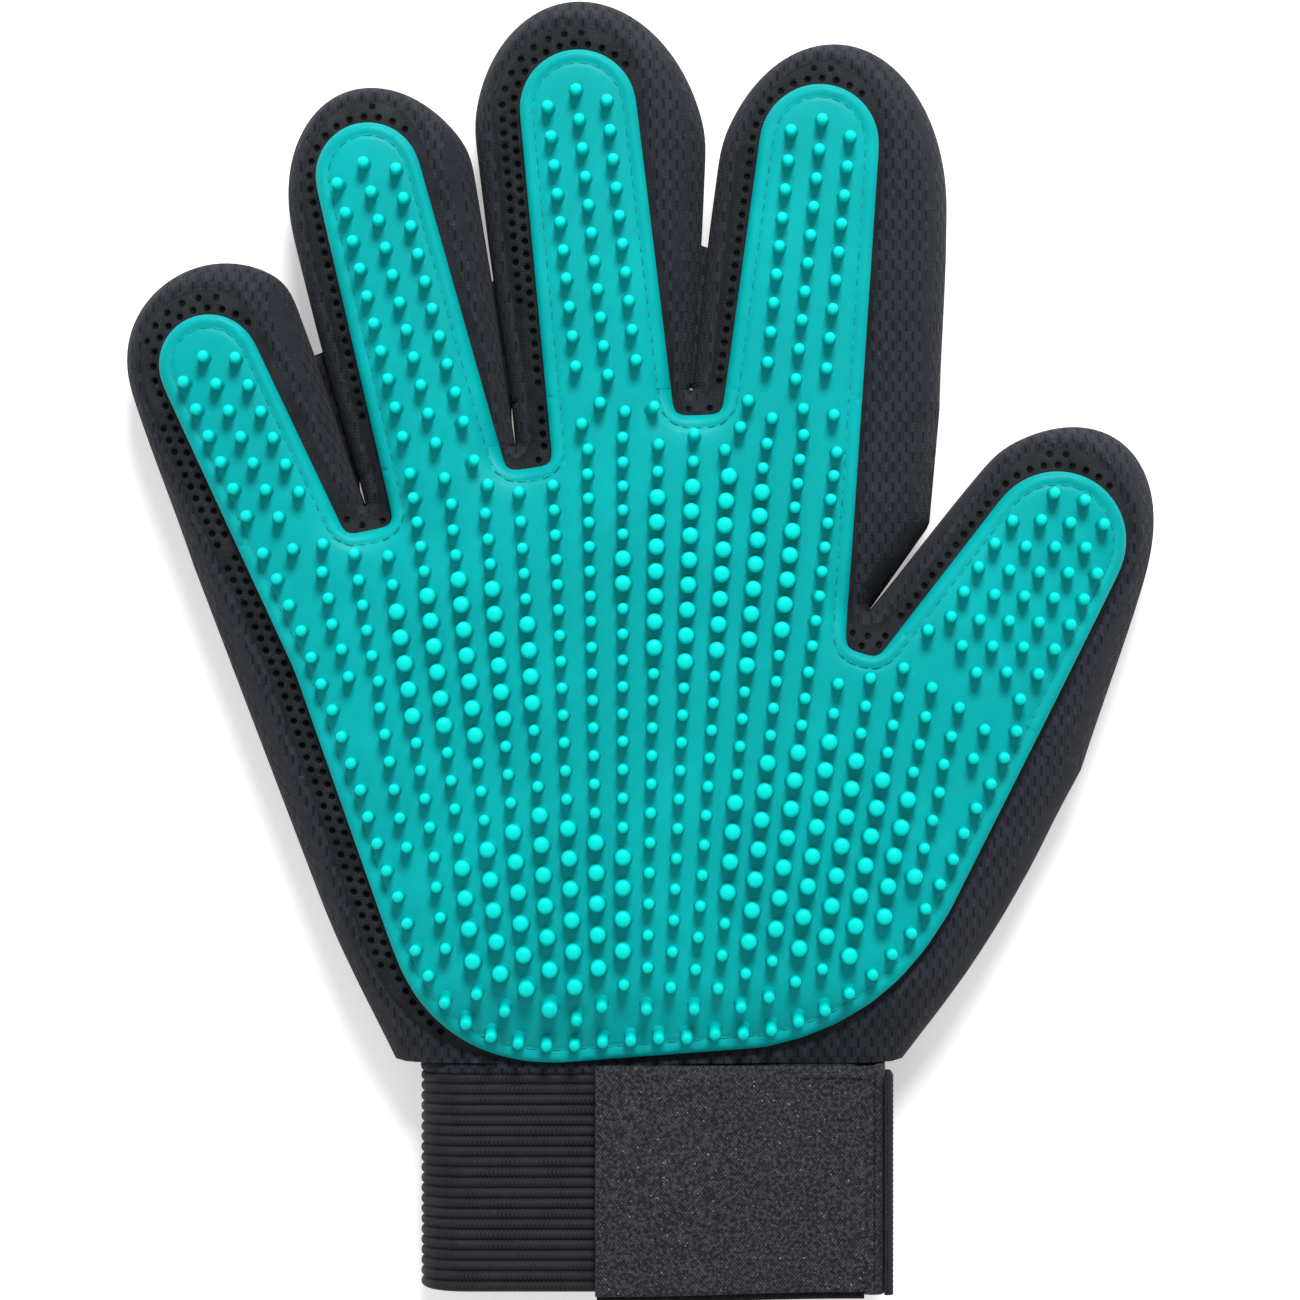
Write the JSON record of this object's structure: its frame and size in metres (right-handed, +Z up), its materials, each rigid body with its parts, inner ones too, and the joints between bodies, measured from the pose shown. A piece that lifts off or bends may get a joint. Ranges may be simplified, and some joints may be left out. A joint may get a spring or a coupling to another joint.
{
  "type": "pet grooming glove",
  "caption": "Right-hand five-finger grooming glove of black knit and air mesh, with a moulded nubbed pad on the palm and fingers, an elastic cuff and a hook-and-loop wrist tab.",
  "frame": {"origin": "on the surface that the glove lies on, under the centre of its bounding box", "axes": "+X towards the thumb, +Y towards the fingertips, +Z up out of the moulded pad"},
  "size_m": [0.184, 0.2325, 0.0262],
  "materials": {
    "knit_fabric": "matte knit",
    "air_mesh": "matte mesh",
    "moulded_silicone": "satin",
    "sewing_thread": "matte thread",
    "black_thread": "matte thread",
    "elastic_webbing": "matte ribbed",
    "loop_fabric": "matte pile",
    "tab_tape": "matte woven",
    "hook_tape": "matte hooks"
  },
  "bodies": {
    "palm": {"palm_knit": "knit_fabric", "palm_mesh": "air_mesh", "palm_pad": "moulded_silicone", "palm_thread": "sewing_thread", "wrist_seam": "knit_fabric", "cuff_elastic": "elastic_webbing", "cuff_binding": "elastic_webbing", "loop_patch": "loop_fabric", "tab_sewn_end": "tab_tape", "tab_stitching": "black_thread"},
    "little_finger": {"little_knit": "knit_fabric", "little_mesh": "air_mesh", "little_pad": "moulded_silicone", "little_thread": "sewing_thread"},
    "ring_finger": {"ring_knit": "knit_fabric", "ring_mesh": "air_mesh", "ring_pad": "moulded_silicone", "ring_thread": "sewing_thread"},
    "middle_finger": {"middle_knit": "knit_fabric", "middle_mesh": "air_mesh", "middle_pad": "moulded_silicone", "middle_thread": "sewing_thread"},
    "index_finger": {"index_knit": "knit_fabric", "index_mesh": "air_mesh", "index_pad": "moulded_silicone", "index_thread": "sewing_thread"},
    "thumb": {"thumb_knit": "knit_fabric", "thumb_mesh": "air_mesh", "thumb_pad": "moulded_silicone", "thumb_thread": "sewing_thread"},
    "closure_tab": {"tab_flap": "tab_tape", "tab_hooks": "hook_tape"}
  },
  "joints": [
    {"name": "little_knuckle", "type": "hinge", "parent": "palm", "child": "little_finger", "pos_m": [-0.06484, 0.0207, 0.0246], "axis": [0.9426, 0.3338, 0], "range_deg": [0, 55]},
    {"name": "ring_knuckle", "type": "hinge", "parent": "palm", "child": "ring_finger", "pos_m": [-0.03663, 0.03408, 0.0246], "axis": [0.9799, 0.1994, 0], "range_deg": [0, 55]},
    {"name": "middle_knuckle", "type": "hinge", "parent": "palm", "child": "middle_finger", "pos_m": [-0.0071, 0.04576, 0.0246], "axis": [0.9976, 0.0698, 0], "range_deg": [0, 55]},
    {"name": "index_knuckle", "type": "hinge", "parent": "palm", "child": "index_finger", "pos_m": [0.03157, 0.04514, 0.0246], "axis": [0.9969, -0.0785, 0], "range_deg": [0, 55]},
    {"name": "thumb_knuckle", "type": "hinge", "parent": "palm", "child": "thumb", "pos_m": [0.05715, -0.00472, 0.0246], "axis": [0.7986, -0.6018, 0], "range_deg": [0, 45]},
    {"name": "closure_fold", "type": "hinge", "parent": "palm", "child": "closure_tab", "pos_m": [0.04, -0.0948, 0.0203], "axis": [0, 1, 0], "range_deg": [0, 150]}
  ]
}
